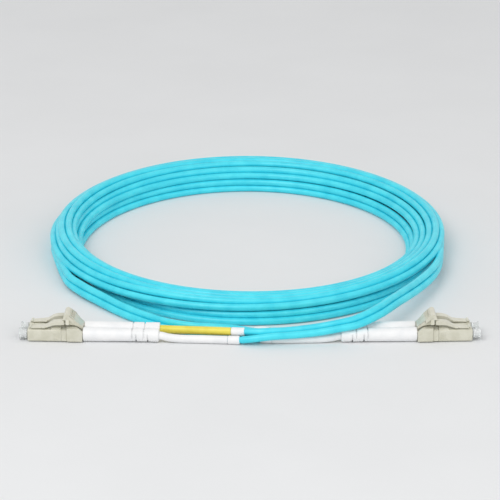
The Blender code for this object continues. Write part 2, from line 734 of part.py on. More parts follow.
def end(name, nose, heading, routes, twin, looks):
    rig = link(f"{name}_end", None)
    rig.location = (nose, END_Y, 0)
    rig.rotation_euler = (0, 0, heading)
    bpy.context.view_layer.update()
    duplex_clip(f"{name}_clip", rig, looks["plug"])
    trigger(f"{name}_trigger", rig, looks["plug"])
    dust_cap(f"{name}_dust_cap", rig, looks["cap"])
    front_side = -1 if nose < 0 else 1
    zip_front, zip_rear = zip_lines(twin)
    plug(f"{name}_front", rig, front_side, looks)
    plug(f"{name}_rear", rig, -front_side, looks)
    white = ("white", WHITE_SLEEVE_LENGTH, FRONT_COLLAR_LENGTH)
    yellow = ("yellow", YELLOW_SLEEVE_LENGTH, REAR_COLLAR_LENGTH)
    dressed_leg(f"{name}_front", rig, front_side, routes[0], zip_front, *white, looks)
    dressed_leg(f"{name}_rear", rig, -front_side, routes[1], zip_rear, *yellow, looks)


def main():
    clear_scene()
    looks = {
        "plug": material("plug_plastic", (0.62, 0.58, 0.47), 0.42),
        "white": material("white_plastic", (0.86, 0.86, 0.85), 0.45),
        "yellow": material("yellow_plastic", (0.86, 0.78, 0.14), 0.42),
        "cord": material("aqua_jacket", (0.10, 0.72, 0.83), 0.42),
        "cap": material("cap_plastic", (0.83, 0.84, 0.84), 0.3),
        "ferrule": material("white_ceramic", (0.85, 0.85, 0.83), 0.15),
        "metal": material("nickel", (0.62, 0.61, 0.58), 0.28, 1.0),
        "fibre": material("fibre_buffer", (0.80, 0.86, 0.86), 0.35),
    }
    end("left", -NOSE_X, -END_YAW, (LEFT_FRONT_ROUTE, LEFT_REAR_ROUTE), LEFT_ZIP, looks)
    end("right", NOSE_X, math.pi + END_YAW, (RIGHT_FRONT_ROUTE, RIGHT_REAR_ROUTE), RIGHT_ZIP, looks)
    coil(looks["cord"])


main()
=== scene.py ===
"""Looks of the duplex fibre optic patch cord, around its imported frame.

Each end has two square plugs with latches, a clip with a trigger over them, boots, a white and
a yellow sleeve and a pair of dust caps. The twin cord between the ends is wound in a coil.
"""

import math

import bmesh
import bpy
from mathutils import Matrix, Vector
from mathutils.geometry import interpolate_bezier


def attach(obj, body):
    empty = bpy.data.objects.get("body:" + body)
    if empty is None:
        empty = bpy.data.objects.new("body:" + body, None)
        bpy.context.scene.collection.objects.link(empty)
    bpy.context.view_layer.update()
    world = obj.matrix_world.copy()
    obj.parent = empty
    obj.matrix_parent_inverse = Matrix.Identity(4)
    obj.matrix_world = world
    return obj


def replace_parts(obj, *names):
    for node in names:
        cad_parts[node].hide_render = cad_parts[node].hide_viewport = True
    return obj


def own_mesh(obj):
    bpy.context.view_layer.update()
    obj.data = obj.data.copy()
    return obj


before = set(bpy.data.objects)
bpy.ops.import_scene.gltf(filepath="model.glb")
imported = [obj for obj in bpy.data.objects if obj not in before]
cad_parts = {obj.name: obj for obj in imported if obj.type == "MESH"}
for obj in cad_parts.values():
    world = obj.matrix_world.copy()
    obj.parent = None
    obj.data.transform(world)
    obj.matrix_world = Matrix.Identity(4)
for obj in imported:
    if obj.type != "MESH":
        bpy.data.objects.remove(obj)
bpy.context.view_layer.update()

MM = 0.001
TINY = 1e-6

# ---------------------------------------------------------------- the two ends, in millimetres
# Lengths along an end are from its nose, and heights are above the ground.
NOSE_X = 84.2  # from the middle to the nose of each end
END_Y = 1.1569  # of the nose, so that an end reaches as far to the front as to the back of y = 0
END_YAW = math.radians(2.3)
PITCH = 6.25  # between the two plugs of an end
AXIS_HEIGHT = 2.7
LEG_START = 24.8
BOOT_START = 21.2
BOOT_END = 49.5

# ---------------------------------------------------------------- the twin cord, in millimetres
LEG_RADIUS = 1.4
SLEEVED_RADIUS = 1.05  # of a leg inside its boot, sleeve and collar
NECK_LEAD = 0.4  # how far inside the collar a leg begins to grow to its full radius
NECK_LENGTH = 1.2
ZIP_SPACING = 2.75  # between the centres of the two legs
SLEEVE_GAP = 0.3
SLEEVE_RADIUS = 1.55
COLLAR_RADIUS = 1.65
SLEEVE_LENGTHS = {"front": 26.3, "rear": 27.7}
COLLAR_LENGTHS = {"front": 4.5, "rear": 5.1}
RIM_DRAW = 0.10  # share by which the rims of the sleeves and collars are drawn in
RIM_POINTS = 1.5
POINT_SPACING = 2.2  # along a leg
COVER_SPACING = 0.25  # along a sleeve or a collar

# Routes of the legs from the boot on: (x, y, z), and for the twin cord also how far the rear
# leg leans over the front one, in degrees.
ROUTES = {
    "left_front": ((-31, -4.5, 2), (-26.6, -4.8, 1.62), (-19, -5.2, 1.6), (-13.3, -5.6, 1.6),
                   (-8.4, -6, 1.65), (-3.6, -6.6, 1.8), (0, -7.4, 2.5)),
    "left_rear": ((-28, 1, 2.95), (-20, -0.5, 3.3), (-13.3, -1.8, 3.6), (-7, -3, 3.85),
                  (-1.9, -3.8, 4), (0.5, -4.4, 4.35)),
    "right_front": ((31, -4.5, 2), (26.6, -4.8, 1.62), (19, -5.1, 1.6), (13.3, -5.3, 1.6),
                    (8.4, -5.2, 1.65), (3.8, -4.6, 1.65), (1, -3.6, 1.5)),
    "right_rear": ((28, 1.2, 2.6), (20, -0.1, 2.4), (13.3, -1.1, 2.5), (9, -1.6, 3),
                   (4.5, -2.1, 3.95), (0.8, -1.5, 3.25)),
}
LEADS = {
    "left": ((4, -7.9, 3.2, 35), (7.6, -8, 3.75, 26), (13.3, -7.7, 4.05, 20), (19, -7.1, 4.3, 23),
             (26.6, -6.4, 4.95, 28), (34, -6.1, 6.3, 30), (40, -4.7, 7, 34), (45.6, -0.7, 7.7, 38),
             (51, 5.5, 8.1, 40), (56.3, 14.5, 8, 42), (61.7, 24.7, 7.2, 45), (67.4, 36.8, 6.1, 52),
             (72.4, 49.6, 5.2, 68), (75.5, 61.5, 4.6, 84), (76.9, 71.5, 4.2, 90)),
    "right": ((-2, -2.1, 1.4, 36), (-7, -0.3, 1.4, 40), (-13, 0.9, 1.4, 40), (-19, 1.7, 1.4, 40),
              (-27, 3.8, 1.4, 40), (-34.6, 7.7, 1.4, 40), (-45, 16.1, 1.5, 42), (-52.1, 23.2, 1.7, 46),
              (-59.2, 31.6, 2, 52), (-66.7, 41.2, 2.2, 64), (-72.8, 52.2, 2.4, 80)),
}

# The coil: its centre, and the half widths of the outermost leg's centre line.
COIL_CENTRE = (-0.9, 96)
COIL_HALF = (79.5, 82.5)
COIL_STEP = 5  # degrees between the points of a turn
COIL_START = 0
COIL_END = 22 * 90 + 5
HELD_POINTS = (2, 3)  # at the start and at the end of the coil, which lie as the stations say
SETTLING_ROUNDS = 60
UNEASED_ROUNDS = 4  # the last ones, which only keep the legs clear of each other
EASED_SHARE = 0.2  # that each neighbour has in a point's new place

# Where the two legs of the twin cord lie at each quarter turn, from the right side on: how far
# inside the outermost line and how high, for the one leg and for the other.
COIL_STATIONS = (
    ((-0.2, 3.1), (-0.3, 5.85)), ((-0.1, 4.0), (-0.2, 6.75)), ((2.3, 5.0), (-0.25, 6.0)),
    ((2.5, 4.9), (0.4, 6.9)), ((2.2, 7.6), (-0.3, 8.7)), ((2.2, 8.9), (0.9, 11.3)),
    ((2.4, 10.6), (0.9, 8.3)), ((5.8, 8.1), (3.1, 7.6)), ((4.3, 9.6), (1.6, 10.4)),
    ((7.0, 11.1), (4.3, 11.5)), ((7.0, 9.5), (4.9, 11.3)), ((11.3, 7.9), (8.6, 8.2)),
    ((9.4, 6.6), (6.8, 8.0)), ((11.2, 7.0), (9.8, 9.4)), ((9.5, 5.4), (7.4, 7.1)),
    ((9.6, 1.4), (8.7, 4.0)), ((13.5, 1.4), (11.1, 4.2)), ((11.65, 1.4), (11.65, 4.15)),
    ((10.9, 1.5), (9.2, 3.7)), ((-1.8, 1.4), (0.0, 4.2)), ((2.7, 1.5), (3.0, 4.2)),
    ((0.2, 1.4), (2.95, 1.6)), ((-0.3, 1.6), (-0.3, 4.35)),
)


# ---------------------------------------------------------------- lines
def length_of(line):
    """The length of the line through the points."""
    return sum((b - a).length for a, b in zip(line, line[1:]))


def spread(line, spacing):
    """Points about the spacing apart on the line."""
    whole = length_of(line)
    count = max(1, round(whole / spacing))
    marks = [whole * index / count for index in range(count + 1)]
    points, passed, mark = [], 0.0, 0
    for a, b in zip(line, line[1:]):
        step = (b - a).length
        while mark < count and marks[mark] <= passed + step:
            points.append(a.lerp(b, (marks[mark] - passed) / step))
            mark += 1
        passed += step
    return points + [line[-1].copy()]


def smooth_line(points, spacing):
    """Points about the spacing apart on the smooth curve through the points."""
    steps = [(b - a).length for a, b in zip(points, points[1:])]
    slopes = [(points[1] - points[0]) / steps[0]]
    for index in range(1, len(points) - 1):
        slopes.append((points[index + 1] - points[index - 1]) / (steps[index - 1] + steps[index]))
    slopes.append((points[-1] - points[-2]) / steps[-1])
    fine = [points[0]]
    for index, step in enumerate(steps):
        before = points[index] + slopes[index] * step / 3
        after = points[index + 1] - slopes[index + 1] * step / 3
        fine += interpolate_bezier(points[index], before, after, points[index + 1], 12)[1:]
    return spread(fine, spacing)


def stretch(line, start, end):
    """The part of the line between two distances along it."""
    points, passed = [], 0.0
    for a, b in zip(line, line[1:]):
        step = (b - a).length
        for mark in (start, end):
            if passed <= mark < passed + step:
                points.append(a.lerp(b, (mark - passed) / step))
        passed += step
        if start < passed < end:
            points.append(b.copy())
    return points


# ---------------------------------------------------------------- route of the twin cord
def lead_lines(side):
    """The lines of the front and of the rear leg along a lead."""
    front = [Vector(point[:3]) for point in LEADS[side]]
    rear = []
    for index, centre in enumerate(front):
        heading = front[min(index + 1, len(front) - 1)] - front[max(index - 1, 0)]
        behind = Vector((-heading.y, heading.x, 0)).normalized()
        if heading.x < 0:
            behind.negate()
        lean = math.radians(LEADS[side][index][3])
        rear.append(centre + ZIP_SPACING * (behind * math.cos(lean) + Vector((0, 0, math.sin(lean)))))
    return front, rear


def coil_place(angle, inside, height):
    """The point at an angle round the coil, so far inside its outermost line and so high."""
    turn = math.radians(angle)
    return Vector((
        COIL_CENTRE[0] + (COIL_HALF[0] - inside) * math.cos(turn),
        COIL_CENTRE[1] + (COIL_HALF[1] - inside) * math.sin(turn),
        height,
    ))


def between_stations(quarter):
    """The places of the two legs after some quarter turns, on a smooth curve through the stations."""
    last = len(COIL_STATIONS) - 1
    low = max(0, min(last - 1, math.floor(quarter)))
    around = [COIL_STATIONS[max(0, min(last, low + shift))] for shift in (-1, 0, 1, 2)]
    part = quarter - low
    squared, cubed = part * part, part * part * part
    found = []
    for leg in (0, 1):
        values = []
        for axis in (0, 1):
            before, start, end, after = (station[leg][axis] for station in around)
            values.append(
                (2 * cubed - 3 * squared + 1) * start
                + (cubed - 2 * squared + part) * ((end - before) / 2)
                + (3 * squared - 2 * cubed) * end
                + (cubed - squared) * ((after - start) / 2)
            )
        found.append(Vector(values))
    return found


def lead_crossings(line):
    """Where a lead's line crosses the radial lines that the coil's points lie on: {step: place}."""
    polar = []
    for point in line:
        away = Vector((
            (point.x - COIL_CENTRE[0]) / COIL_HALF[0],
            (point.y - COIL_CENTRE[1]) / COIL_HALF[1],
        ))
        angle = math.degrees(math.atan2(away.y, away.x)) % 360
        polar.append((angle, (1 - away.length) * sum(COIL_HALF) / 2, point.z))
    found = {}
    for (angle_a, *a), (angle_b, *b) in zip(polar, polar[1:]):
        if abs(angle_a - angle_b) > 90:  # past the turn's start
            continue
        for step in range(360 // COIL_STEP):
            mark = step * COIL_STEP
            if min(angle_a, angle_b) <= mark < max(angle_a, angle_b):
                found[step] = Vector(a).lerp(Vector(b), (mark - angle_a) / (angle_b - angle_a))
    return found


def push_clear(fixed, moved):
    """The move that takes one leg's centre clear of another's."""
    apart = moved - fixed
    distance = max(apart.length, TINY)
    return apart * (max(0.0, 2 * LEG_RADIUS - distance) / distance)


def settled_coil(leads):
    """The points of the two legs along the coil, pushed clear of each other and of the ground."""
    steps = range((COIL_END - COIL_START) // COIL_STEP + 1)
    angles = [COIL_START + index * COIL_STEP for index in steps]
    legs = [list(line) for line in zip(*(between_stations(angle / 90) for angle in angles))]
    rings = {step: [] for step in range(360 // COIL_STEP)}
    for index, angle in enumerate(angles):
        rings[angle % 360 // COIL_STEP].append(index)
    fixed = {step: [] for step in rings}
    for line in leads:
        for step, place in lead_crossings(line).items():
            fixed[step].append(place)
    held = {*steps[:HELD_POINTS[0]], *steps[-HELD_POINTS[1]:]}
    for settling in range(SETTLING_ROUNDS):
        for step, ring in rings.items():
            members = [(leg, index) for index in ring for leg in (0, 1)]
            for number, (leg, index) in enumerate(members):
                here = legs[leg][index]
                for other_leg, other in members[number + 1:]:
                    if other == index:
                        continue
                    push = push_clear(here, legs[other_leg][other])
                    share = 1.0 if index in held or other in held else 0.5
                    if index not in held:
                        here -= push * share
                    if other not in held:
                        legs[other_leg][other] += push * share
                for place in fixed[step] if index not in held else ():
                    here += push_clear(place, here)
                here.y = max(here.y, LEG_RADIUS)
        for index in steps:
            a, b = legs[0][index], legs[1][index]
            middle, apart = (a + b) / 2, b - a
            half = apart * (ZIP_SPACING / 2 / max(apart.length, TINY))
            legs[0][index], legs[1][index] = middle - half, middle + half
        for line in legs if settling < SETTLING_ROUNDS - UNEASED_ROUNDS else ():
            eased = [
                here * (1 - 2 * EASED_SHARE) + (before + after) * EASED_SHARE
                for before, here, after in zip(line, line[1:], line[2:])
            ]
            for index, place in enumerate(eased, 1):
                if index not in held:
                    line[index] = place
    for line in legs:
        for place in line:
            place.y = max(place.y, LEG_RADIUS)
    return [[coil_place(angle, *place) for angle, place in zip(angles, line)] for line in legs]


def end_matrix(side):
    """From an end's own frame, with X from its nose to its boots, to the frame of the whole."""
    sign = -1 if side == "left" else 1
    heading = -END_YAW if side == "left" else math.pi + END_YAW
    return Matrix.Translation(Vector((sign * NOSE_X, END_Y, 0)) * MM) @ Matrix.Rotation(heading, 4, "Z")


def plug_side(side, place):
    """+1 or -1: the side of an end's own frame that its front or rear plug is on."""
    front = -1 if side == "left" else 1
    return front if place == "front" else -front


def plug_point(side, place, distance):
    """The point on a plug's axis at the distance from its nose, in metres."""
    local = Vector((distance, plug_side(side, place) * PITCH / 2, AXIS_HEIGHT)) * MM
    return end_matrix(side) @ local


def cord_lines():
    """The whole line of the front and of the rear leg, from plug to plug through the coil."""
    left, right = lead_lines("left"), lead_lines("right")
    coil = settled_coil([*left, *right])
    lines = {}
    for index, place in enumerate(("front", "rear")):
        ways = []
        for side, lead in (("left", left), ("right", right)):
            points = [plug_point(side, place, LEG_START), plug_point(side, place, BOOT_END)]
            points += [Vector(point) * MM for point in ROUTES[f"{side}_{place}"]]
            ways.append(points + [point * MM for point in lead[index]])
        whole = ways[0] + [point * MM for point in coil[index]] + ways[1][::-1]
        lines[place] = smooth_line(whole, POINT_SPACING * MM)
    return lines


# ---------------------------------------------------------------- materials
def linear(colour):
    """An sRGB hex colour as the linear values that a shader takes."""
    values = [int(colour[start:start + 2], 16) / 255 for start in (1, 3, 5)]
    return [v / 12.92 if v <= 0.04045 else ((v + 0.055) / 1.055) ** 2.4 for v in values] + [1.0]


def add(tree, kind, inputs=(), **settings):
    """A node of the kind with its settings, and its inputs given a value or a link."""
    made = tree.nodes.new(f"ShaderNode{kind}")
    for name, value in settings.items():
        setattr(made, name, value)
    for name, value in dict(inputs).items():
        if isinstance(value, bpy.types.NodeSocket):
            tree.links.new(value, made.inputs[name])
        else:
            made.inputs[name].default_value = value
    return made


def finish_of(name, colour, shade, roughness, grain, mottle, bump, metallic=0.0, **sockets):
    """A material whose colour drifts to the shade over the mottle's size, and whose skin has the
    grain, raised by the bump, all in millimetres."""
    made = bpy.data.materials.new(name)
    made.use_nodes = True
    tree = made.node_tree
    shader = tree.nodes["Principled BSDF"]
    place = add(tree, "TexCoord").outputs["Object"]
    cloud = add(tree, "TexNoise", {"Vector": place, "Scale": 1 / (mottle * MM), "Detail": 3.0})
    skin = add(tree, "TexNoise", {"Vector": place, "Scale": 1 / (grain * MM), "Detail": 4.0})
    drift = add(tree, "ValToRGB", {"Fac": cloud.outputs["Fac"]})
    for stop, position, tone in zip(drift.color_ramp.elements, (0.35, 0.65), (shade, colour)):
        stop.position, stop.color = position, linear(tone)
    polish = add(tree, "MapRange", {
        "Value": skin.outputs["Fac"], "To Min": roughness - 0.06, "To Max": roughness + 0.08,
    })
    raised = add(tree, "Bump", {
        "Height": skin.outputs["Fac"], "Strength": 0.35, "Distance": bump * MM,
    })
    tree.links.new(drift.outputs["Color"], shader.inputs["Base Color"])
    tree.links.new(polish.outputs["Result"], shader.inputs["Roughness"])
    tree.links.new(raised.outputs["Normal"], shader.inputs["Normal"])
    shader.inputs["Metallic"].default_value = metallic
    for socket, value in sockets.items():
        shader.inputs[socket.replace("_", " ")].default_value = value
    return made


MATERIALS = {
    # Extruded PVC jacket: a bright aqua with a soft sheen.
    "aqua_jacket": finish_of(
        "extruded_pvc_jacket_aqua", "#4CE4F4", "#37D7EB", 0.36, 0.5, 6, 0.03, IOR=1.52
    ),
    # Injection moulded PBT of the plugs, clips and triggers: a greyish ivory with a faint texture.
    "plug_plastic": finish_of(
        "moulded_pbt_ivory", "#DAD8C8", "#CFCDBB", 0.32, 0.35, 3, 0.02, IOR=1.57
    ),
    # Moulded TPE of the boots, white sleeves and collars: a clean white.
    "white_plastic": finish_of(
        "moulded_tpe_white", "#F6F6F6", "#EEEFF0", 0.42, 0.35, 4, 0.02, IOR=1.5
    ),
    # Heat-shrunk polyolefin sleeve: a lemon yellow.
    "yellow_plastic": finish_of(
        "heat_shrunk_polyolefin_yellow", "#F2E462", "#E8D850", 0.40, 0.4, 5, 0.02, IOR=1.5
    ),
    # Moulded LDPE of the caps: clear with a milky haze.
    "cap_plastic": finish_of(
        "moulded_ldpe_clear", "#F8FAFA", "#F0F4F4", 0.24, 0.5, 3, 0.004,
        IOR=1.51, Transmission_Weight=0.35,
    ),
    # Ground and polished zirconia: a hard bright white.
    "white_ceramic": finish_of(
        "polished_zirconia", "#F3F1EA", "#EEECE4", 0.12, 0.1, 1, 0.002, IOR=2.1
    ),
    # Nickel plated brass of the holders, springs and crimps: a warm grey metal, half polished.
    "nickel": finish_of(
        "nickel_plated_brass", "#C8C4BC", "#BDB8AE", 0.28, 0.15, 1, 0.004, metallic=1.0
    ),
    # Buffered fibre: a thin, even polymer coat.
    "fibre_buffer": finish_of(
        "buffered_fibre_coat", "#D8ECEC", "#CFE4E4", 0.35, 0.2, 2, 0.005, IOR=1.5
    ),
}
# What a node's name ends with, and its finish.
SLOTS = {
    "clip": "plug_plastic", "trigger": "plug_plastic", "dust_cap": "cap_plastic",
    "plug_housing": "plug_plastic", "latch": "plug_plastic", "ferrule": "white_ceramic",
    "ferrule_holder": "nickel", "ferrule_spring": "nickel", "rear_body": "plug_plastic",
    "crimp_sleeve": "nickel", "fibre": "fibre_buffer", "boot": "white_plastic",
    "white_sleeve": "white_plastic", "yellow_sleeve": "yellow_plastic", "collar": "white_plastic",
    "leg": "aqua_jacket", "coil": "aqua_jacket",
}
for node_name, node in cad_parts.items():
    for ending, slot_name in SLOTS.items():
        if node_name.endswith(ending):
            node.data.materials.clear()
            node.data.materials.append(MATERIALS[slot_name])
            break


# ---------------------------------------------------------------- pieces
def curve_piece(name, line, radius, slot_name, radii=None):
    """A round piece whose centre follows the line."""
    curve = bpy.data.curves.new(name, "CURVE")
    curve.dimensions = "3D"
    curve.bevel_depth = radius
    curve.bevel_resolution = 4
    curve.use_fill_caps = True
    curve.resolution_u = 1
    curve.render_resolution_u = 1
    spline = curve.splines.new("POLY")
    spline.points.add(len(line) - 1)
    for index, point in enumerate(line):
        spline.points[index].co = (*point, 1)
        spline.points[index].radius = radii[index] if radii else 1
    spline.use_smooth = True
    curve.materials.append(MATERIALS[slot_name])
    made = bpy.data.objects.new(name, curve)
    bpy.context.collection.objects.link(made)
    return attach(made, "cord")


def leg_radii(line, place):
    """A leg is drawn in where its boot, sleeve and collar are round it, at both ends."""
    whole = length_of(line)
    lengths = SLEEVE_LENGTHS[place] + COLLAR_LENGTHS[place]
    covered = (BOOT_END - LEG_START + 2 * SLEEVE_GAP + lengths) * MM
    passed, radii = 0.0, []
    for index, point in enumerate(line):
        if index:
            passed += (point - line[index - 1]).length
        from_end = min(passed, whole - passed)
        part = max(0.0, min(1.0, (from_end - covered + NECK_LEAD * MM) / (NECK_LENGTH * MM)))
        radii.append((SLEEVED_RADIUS + part * (LEG_RADIUS - SLEEVED_RADIUS)) / LEG_RADIUS)
    return radii


def covers(place, line):
    """A leg's white or yellow sleeve and the bare marker collar behind it, at both of its ends."""
    made = []
    for side, way in (("left", line), ("right", line[::-1])):
        start = (BOOT_END - LEG_START + SLEEVE_GAP / 3) * MM
        end = start + (SLEEVE_LENGTHS[place] + SLEEVE_GAP) * MM
        far = end + COLLAR_LENGTHS[place] * MM
        colour = "white" if place == "front" else "yellow"
        parts = (
            (f"{colour}_sleeve", start, end - 0.1 * MM, SLEEVE_RADIUS, f"{colour}_plastic"),
            ("collar", end, far, COLLAR_RADIUS, "white_plastic"),
        )
        for part, from_here, to_here, radius, slot_name in parts:
            centre = spread(stretch(way, from_here, to_here), COVER_SPACING * MM)
            from_rim = [min(index, len(centre) - 1 - index) for index in range(len(centre))]
            radii = [1 - RIM_DRAW * (1 - min(1, count / RIM_POINTS)) ** 2 for count in from_rim]
            piece = curve_piece(f"{side}_{place}_{part}_skin", centre, radius * MM, slot_name, radii)
            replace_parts(piece, f"{side}_{place}_{part}")
            made.append(piece)
    return made


def cord_legs():
    """The two legs of the twin cord, each one free cord from its left plug to its right plug."""
    for place, line in cord_lines().items():
        leg = curve_piece(f"{place}_leg", line, LEG_RADIUS * MM, "aqua_jacket", leg_radii(line, place))
        coil = ("coil",) if place == "front" else ()
        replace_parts(leg, f"left_{place}_leg", f"right_{place}_leg", *coil)
        covers(place, line)
        print(place, "leg", round(length_of(line), 4), "m")


# ---------------------------------------------------------------- moulded pieces, in an end's frame
def add_pushed(bm, corners, step):
    """A block: the face between the corners, pushed out by the step."""
    face = bm.faces.new([bm.verts.new(corner) for corner in corners])
    grown = bmesh.ops.extrude_face_region(bm, geom=[face])["geom"]
    moved = [item for item in grown if isinstance(item, bmesh.types.BMVert)]
    bmesh.ops.translate(bm, verts=moved, vec=step)


def add_prism(bm, outline, width, middle=0.0):
    """The outline, of (distance from the nose, height), made as wide as the width."""
    corners = [(along, middle - width / 2, height) for along, height in outline]
    add_pushed(bm, corners, (0, width, 0))


def add_box(bm, start, end, width, bottom, top, middle=0.0):
    """A box between two distances from the nose and two heights."""
    add_prism(bm, ((start, bottom), (end, bottom), (end, top), (start, top)), width, middle)


def edges_of(verts):
    """The edges at the vertices."""
    return list({edge for vert in verts for edge in vert.link_edges})


def add_turned(bm, profile, sides, middle, closed=False):
    """The profile, of (distance from the nose, radius), turned about a plug's axis."""
    line = [bm.verts.new((along, middle, AXIS_HEIGHT - radius)) for along, radius in profile]
    pairs = list(zip(line, line[1:])) + ([(line[-1], line[0])] if closed else [])
    edges = [bm.edges.new(pair) for pair in pairs]
    return bmesh.ops.spin(
        bm, geom=line + edges, cent=(0, middle, AXIS_HEIGHT), axis=(1, 0, 0),
        angle=2 * math.pi, steps=sides, use_merge=True,
    )


def finished(bm, name, side, body, slot_name, edge=0.0, segments=2, sharp=38):
    """The piece of the mesh in bm, drawn in an end's frame, with its edges rounded."""
    bmesh.ops.transform(bm, matrix=end_matrix(side) @ Matrix.Scale(MM, 4), verts=bm.verts)
    bmesh.ops.remove_doubles(bm, verts=bm.verts, dist=1e-7)
    bmesh.ops.recalc_face_normals(bm, faces=bm.faces)
    mesh = bpy.data.meshes.new(name)
    bm.to_mesh(mesh)
    bm.free()
    mesh.materials.append(MATERIALS[slot_name])
    mesh.shade_smooth()
    mesh.set_sharp_from_angle(angle=math.radians(sharp))
    made = bpy.data.objects.new(name, mesh)
    bpy.context.collection.objects.link(made)
    if edge:
        rounding = made.modifiers.new("rounded_edges", "BEVEL")
        rounding.width = edge * MM
        rounding.segments = segments
        rounding.limit_method = "ANGLE"
        rounding.angle_limit = math.radians(30)
        rounding.harden_normals = True
    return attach(made, body)


HOUSING_LENGTH = 12.85
HOUSING_WIDTH = 4.52
HOUSING_TOP = AXIS_HEIGHT + HOUSING_WIDTH / 2
HOUSING_CORNER = 0.42
NOSE_CHAMFER = 0.35
BORE_SIDES = 16
BORE_RADIUS = 1.65
# The bore on from the nose: the ferrule's part, the wall that stops the holder, and the spring's
# chamber, each as (distance from the nose, radius).
BORE_STEPS = ((3.4, 1.65), (3.4, 0.93), (4.2, 0.93), (4.2, 1.72), (HOUSING_LENGTH, 1.72))
# The pad on top, as (distance from the nose, height above the housing).
PAD = ((8.9, -0.2), (12.75, -0.2), (12.75, 0.5), (9.2, 0.5))
PAD_WIDTH = 3.7
RIDGES = 4
RIDGE_START = 9.9
RIDGE_SPACING = 0.7
RIDGE_LENGTH = 0.34


def plug_housing(side, place, middle):
    """A square moulding with a stepped bore, a pad on top and grip ridges at its rear."""
    bm = bmesh.new()
    bmesh.ops.create_cube(bm, size=1)
    length = HOUSING_LENGTH - NOSE_CHAMFER
    bmesh.ops.scale(bm, verts=bm.verts, vec=(length, HOUSING_WIDTH, HOUSING_WIDTH))
    bmesh.ops.translate(bm, verts=bm.verts, vec=(NOSE_CHAMFER + length / 2, middle, AXIS_HEIGHT))
    bmesh.ops.bevel(
        bm, geom=[edge for edge in bm.edges if abs(edge.verts[0].co.x - edge.verts[1].co.x) > 1],
        offset=HOUSING_CORNER, affect="EDGES", segments=3, profile=0.5, material=-1,
    )
    nose = min(bm.faces, key=lambda face: face.calc_center_median().x)
    bmesh.ops.inset_region(
        bm, faces=[nose], thickness=NOSE_CHAMFER, depth=NOSE_CHAMFER, use_even_offset=True
    )
    rim = list(nose.edges)
    bmesh.ops.delete(bm, geom=[nose], context="FACES_ONLY")
    turn = (
        Matrix.Translation((0, middle, AXIS_HEIGHT))
        @ Matrix.Rotation(math.pi / 2, 4, "Y") @ Matrix.Rotation(math.pi / BORE_SIDES, 4, "Z")
    )
    ring = bmesh.ops.create_circle(bm, segments=BORE_SIDES, radius=BORE_RADIUS, matrix=turn)["verts"]
    ring_edges = edges_of(ring)
    bmesh.ops.bridge_loops(bm, edges=rim + ring_edges)
    for along, radius in BORE_STEPS:
        grown = bmesh.ops.extrude_edge_only(bm, edges=ring_edges)["geom"]
        ring = {item for item in grown if isinstance(item, bmesh.types.BMVert)}
        ring_edges = [
            item for item in grown
            if isinstance(item, bmesh.types.BMEdge) and ring.issuperset(item.verts)
        ]
        for vert in ring:
            away = Vector((0, vert.co.y - middle, vert.co.z - AXIS_HEIGHT)).normalized() * radius
            vert.co = (along, middle + away.y, AXIS_HEIGHT + away.z)
    rear = max(
        (face for face in bm.faces if len(face.verts) > 4),
        key=lambda face: face.calc_center_median().x,
    )
    rear_rim = list(rear.edges)
    bmesh.ops.delete(bm, geom=[rear], context="FACES_ONLY")
    bmesh.ops.bridge_loops(bm, edges=rear_rim + ring_edges)
    add_prism(bm, [(along, HOUSING_TOP + height) for along, height in PAD], PAD_WIDTH, middle)
    for number in range(RIDGES):
        start = RIDGE_START + number * RIDGE_SPACING
        for sign in (-1, 1):
            add_box(bm, start, start + RIDGE_LENGTH, 0.3, 1.2, 3.9, middle + sign * HOUSING_WIDTH / 2)
    name = f"{side}_{place}_plug_housing"
    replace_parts(finished(bm, f"{name}_moulding", side, "cord", "plug_plastic", 0.06), name)


BOSS_SIDES = 20
BOSS_RADIUS = 0.52


def add_boss(bm, along, height, width, middle):
    """A round root across the blade, with a small blind hole in each end."""
    turn = Matrix.Translation((along, middle, height)) @ Matrix.Rotation(math.pi / 2, 4, "X")
    made = bmesh.ops.create_cone(
        bm, cap_ends=True, segments=BOSS_SIDES, radius1=BOSS_RADIUS, radius2=BOSS_RADIUS,
        depth=width, matrix=turn,
    )
    ends = [
        face for face in bm.faces
        if len(face.verts) == BOSS_SIDES and face.verts[0] in made["verts"]
    ]
    bmesh.ops.inset_region(bm, faces=ends, thickness=0.22, depth=0.0, use_even_offset=True)
    bmesh.ops.inset_region(bm, faces=ends, thickness=0.02, depth=-0.5, use_even_offset=True)


LATCH_RISE = 3.24  # of the blade's free end above the housing
LATCH_THICKNESS = 1.4  # at that end
LATCH_LOW = 0.3  # from the housing to the blade's underside, at its root
# (distance from the nose, share of the rise), from the free end to the root.
LATCH_TOP = (
    (14.0, 0.985), (13.2, 1), (12.2, 0.995), (11.2, 0.965), (10.2, 0.905), (9.2, 0.80), (8.4, 0.66),
    (7.7, 0.50), (7.0, 0.38), (6.0, 0.31), (4.2, 0.27), (2.6, 0.22), (1.7, 0.2), (0.9, 0.14),
)
# The lugs, as (distance from the nose, height above the housing).
LUG = ((5.5, 0.5), (6.9, 0.6), (6.9, 1.0), (5.7, 0.95))


def latch(side, place, middle):
    """A springy blade, thin at the nose and arched up to its free end, with a lug on each side."""
    bm = bmesh.new()
    arch = LATCH_RISE - LATCH_THICKNESS
    bottom = (
        (0.9, LATCH_LOW), (4.2, LATCH_LOW + 0.05), (6.2, LATCH_LOW + 0.2), (7.3, LATCH_LOW + 0.38),
        (8.3, 0.6 * arch), (9.4, 0.83 * arch), (10.6, 0.96 * arch), (14.0, arch),
    )
    top = tuple((along, share * LATCH_RISE) for along, share in LATCH_TOP)
    for outline, width in ((bottom + top, 3.0), (LUG, 3.8)):
        add_prism(bm, [(along, HOUSING_TOP + height) for along, height in outline], width, middle)
    add_boss(bm, 1.15, HOUSING_TOP + 0.5, 3.3, middle)
    name = f"{side}_{place}_latch"
    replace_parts(finished(bm, f"{name}_blade", side, name, "plug_plastic", 0.13), name)


